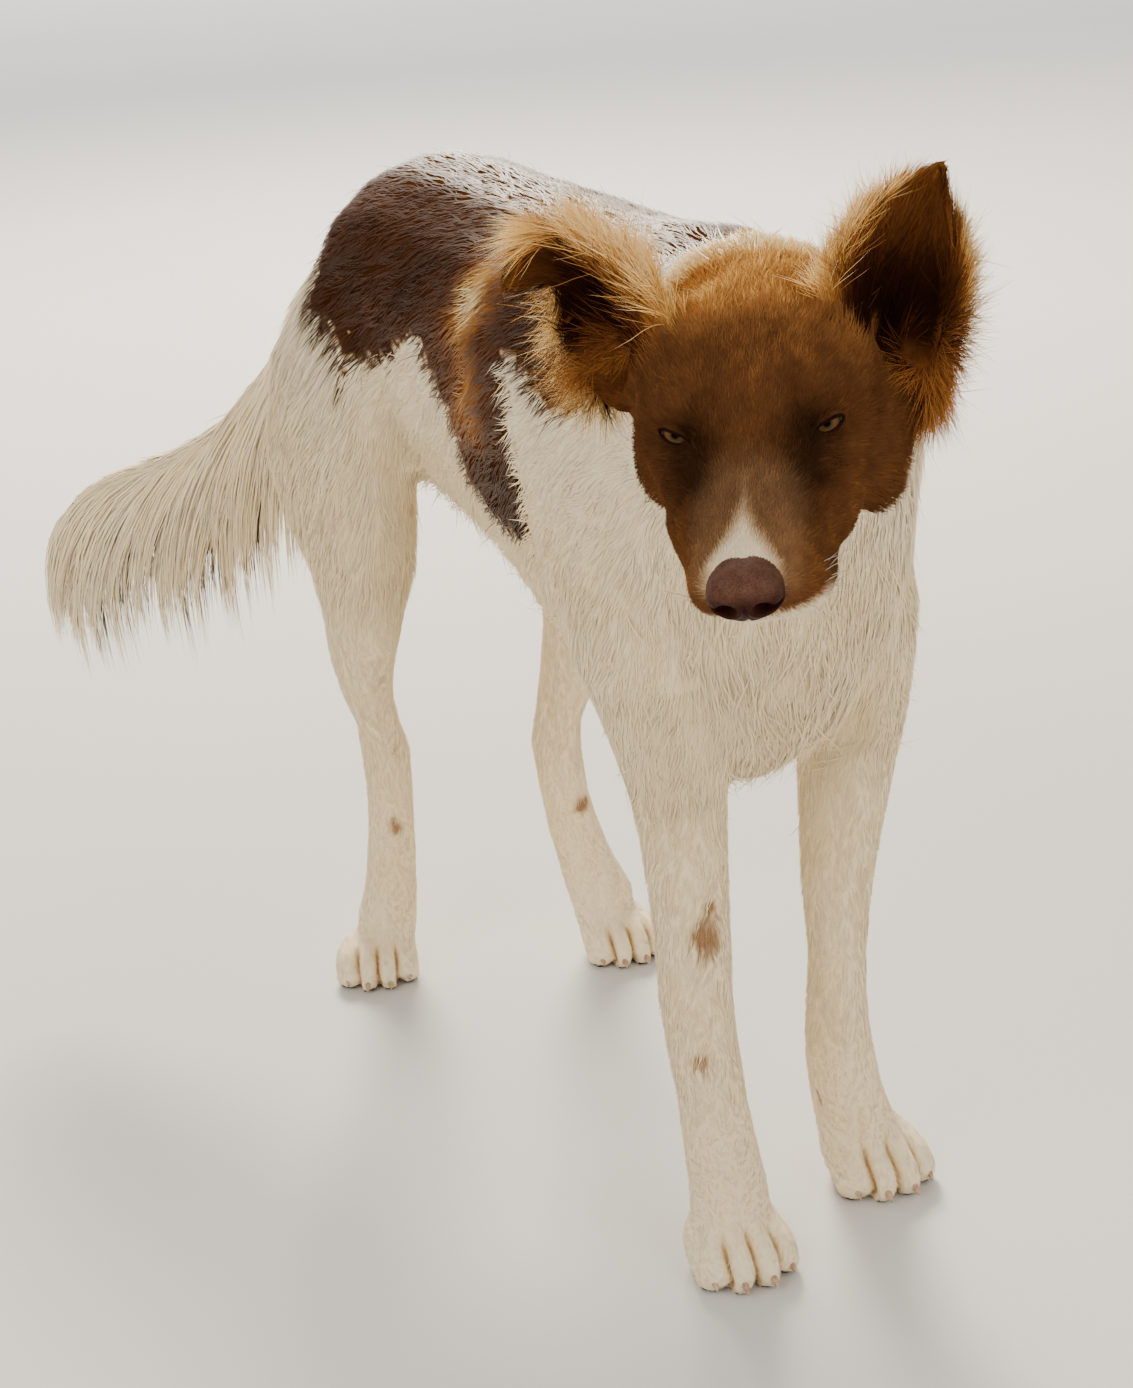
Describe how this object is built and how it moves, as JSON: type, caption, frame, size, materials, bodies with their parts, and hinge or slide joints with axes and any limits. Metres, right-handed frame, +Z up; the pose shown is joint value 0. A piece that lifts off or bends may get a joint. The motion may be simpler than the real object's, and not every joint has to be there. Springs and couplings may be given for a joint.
{
  "type": "dog",
  "caption": "Standing collie-type dog, white with a liver-brown head and saddle, head turned aside, one ear folded, feathered tail carried low; a still, life-size display model.",
  "frame": {"origin": "on the floor, at the middle of the dog's footprint box", "axes": "+Z up, -Y the way the dog's body faces, +X to its left"},
  "size_m": [0.3188, 0.928, 0.6265],
  "materials": {
    "coat_white": "soft medium-length white and cream hair, with a liver-brown saddle",
    "coat_liver": "short liver-brown hair, golden at the tips on the crown and ear fringes",
    "nose_leather": "moist liver-brown pebbled skin",
    "eye_amber": "wet, clear cornea over an amber iris",
    "claw_horn": "smooth pale horn"
  },
  "bodies": {
    "root": {"trunk": "coat_white", "neck": "coat_white", "head": "coat_liver", "nose": "nose_leather", "eye_right": "eye_amber", "eye_left": "eye_amber", "ear_right": "coat_liver", "ear_left": "coat_liver", "tail_root": "coat_white", "tail_middle": "coat_white", "tail_tip": "coat_white", "upper_arm_right": "coat_white", "forearm_right": "coat_white", "forepaw_right": "coat_white", "thigh_right": "coat_white", "shank_right": "coat_white", "hindpaw_right": "coat_white", "claw_fore_right_1": "claw_horn", "claw_fore_right_2": "claw_horn", "claw_fore_right_3": "claw_horn", "claw_fore_right_4": "claw_horn", "claw_hind_right_1": "claw_horn", "claw_hind_right_2": "claw_horn", "claw_hind_right_3": "claw_horn", "claw_hind_right_4": "claw_horn", "dewclaw_right": "claw_horn", "upper_arm_left": "coat_white", "forearm_left": "coat_white", "forepaw_left": "coat_white", "thigh_left": "coat_white", "shank_left": "coat_white", "hindpaw_left": "coat_white", "claw_fore_left_1": "claw_horn", "claw_fore_left_2": "claw_horn", "claw_fore_left_3": "claw_horn", "claw_fore_left_4": "claw_horn", "claw_hind_left_1": "claw_horn", "claw_hind_left_2": "claw_horn", "claw_hind_left_3": "claw_horn", "claw_hind_left_4": "claw_horn", "dewclaw_left": "claw_horn"}
  },
  "joints": []
}
